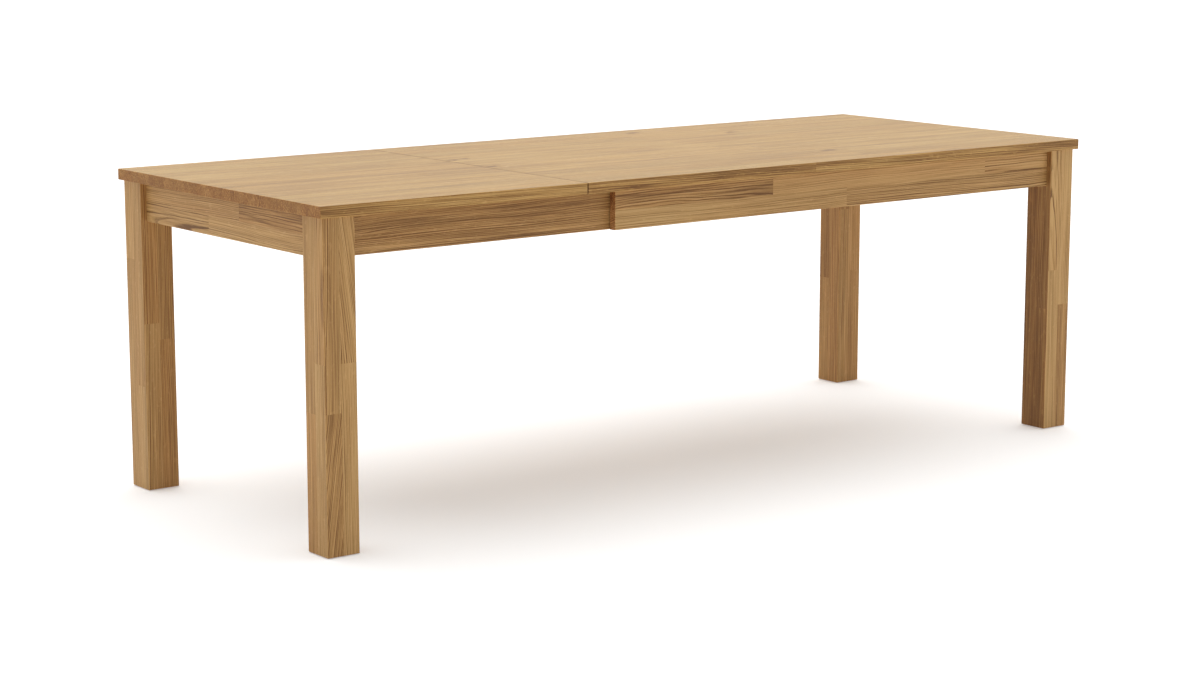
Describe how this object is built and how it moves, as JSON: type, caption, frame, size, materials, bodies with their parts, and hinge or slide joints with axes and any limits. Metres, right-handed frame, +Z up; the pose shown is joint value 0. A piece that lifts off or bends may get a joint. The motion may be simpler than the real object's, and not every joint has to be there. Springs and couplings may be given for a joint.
{
  "type": "extendable dining table",
  "caption": "Rectangular solid-oak dining table on square legs, extended: a sliding leg frame carries a loose end leaf beside the main top.",
  "frame": {"origin": "on the floor under the middle of the extended table", "axes": "+X along the length from the loose leaf to the fixed end, +Y from the front side to the back side, +Z up"},
  "size_m": [2.3, 0.9, 0.76],
  "materials": {
    "oak": "oiled satin",
    "inner_wood": "planed, unfinished",
    "dowel_wood": "smooth beech",
    "zinc_steel": "zinc plated",
    "felt": "pressed felt"
  },
  "bodies": {
    "main_frame": {"main_top": "oak", "fixed_leg_front": "oak", "fixed_leg_back": "oak", "outer_apron_front": "oak", "outer_apron_back": "oak", "fixed_end_apron": "oak", "fixed_corner_block_front": "inner_wood", "fixed_corner_block_back": "inner_wood", "guide_rail_front": "inner_wood", "guide_rail_back": "inner_wood", "top_batten_1": "inner_wood", "top_batten_2": "inner_wood", "top_batten_3": "inner_wood", "opening_stops": "inner_wood", "closing_stops": "inner_wood", "fixed_hanger_bolts": "zinc_steel", "fixed_washers": "zinc_steel", "fixed_nuts": "zinc_steel", "fixed_block_screws": "zinc_steel", "outer_apron_screws": "zinc_steel", "end_apron_screws": "zinc_steel", "guide_rail_screws": "zinc_steel", "stop_screws": "zinc_steel", "batten_screws": "zinc_steel", "fixed_leg_glides": "felt"},
    "sliding_frame": {"sliding_leg_front": "oak", "sliding_leg_back": "oak", "inner_apron_front": "oak", "inner_apron_back": "oak", "sliding_end_apron": "oak", "sliding_corner_block_front": "inner_wood", "sliding_corner_block_back": "inner_wood", "cross_rail": "inner_wood", "cross_rail_screws": "zinc_steel", "sliding_hanger_bolts": "zinc_steel", "sliding_washers": "zinc_steel", "sliding_nuts": "zinc_steel", "sliding_block_screws": "zinc_steel", "sliding_leg_glides": "felt", "leaf_pads": "felt"},
    "leaf": {"leaf_panel": "oak", "leaf_dowels": "dowel_wood"}
  },
  "joints": [
    {"name": "frame_slide", "type": "slide", "parent": "main_frame", "child": "sliding_frame", "axis": [1, 0, 0], "range_m": [0, 0.7]},
    {"name": "leaf_pull", "type": "slide", "parent": "main_frame", "child": "leaf", "axis": [-1, 0, 0], "range_m": [0, 0.74]}
  ]
}
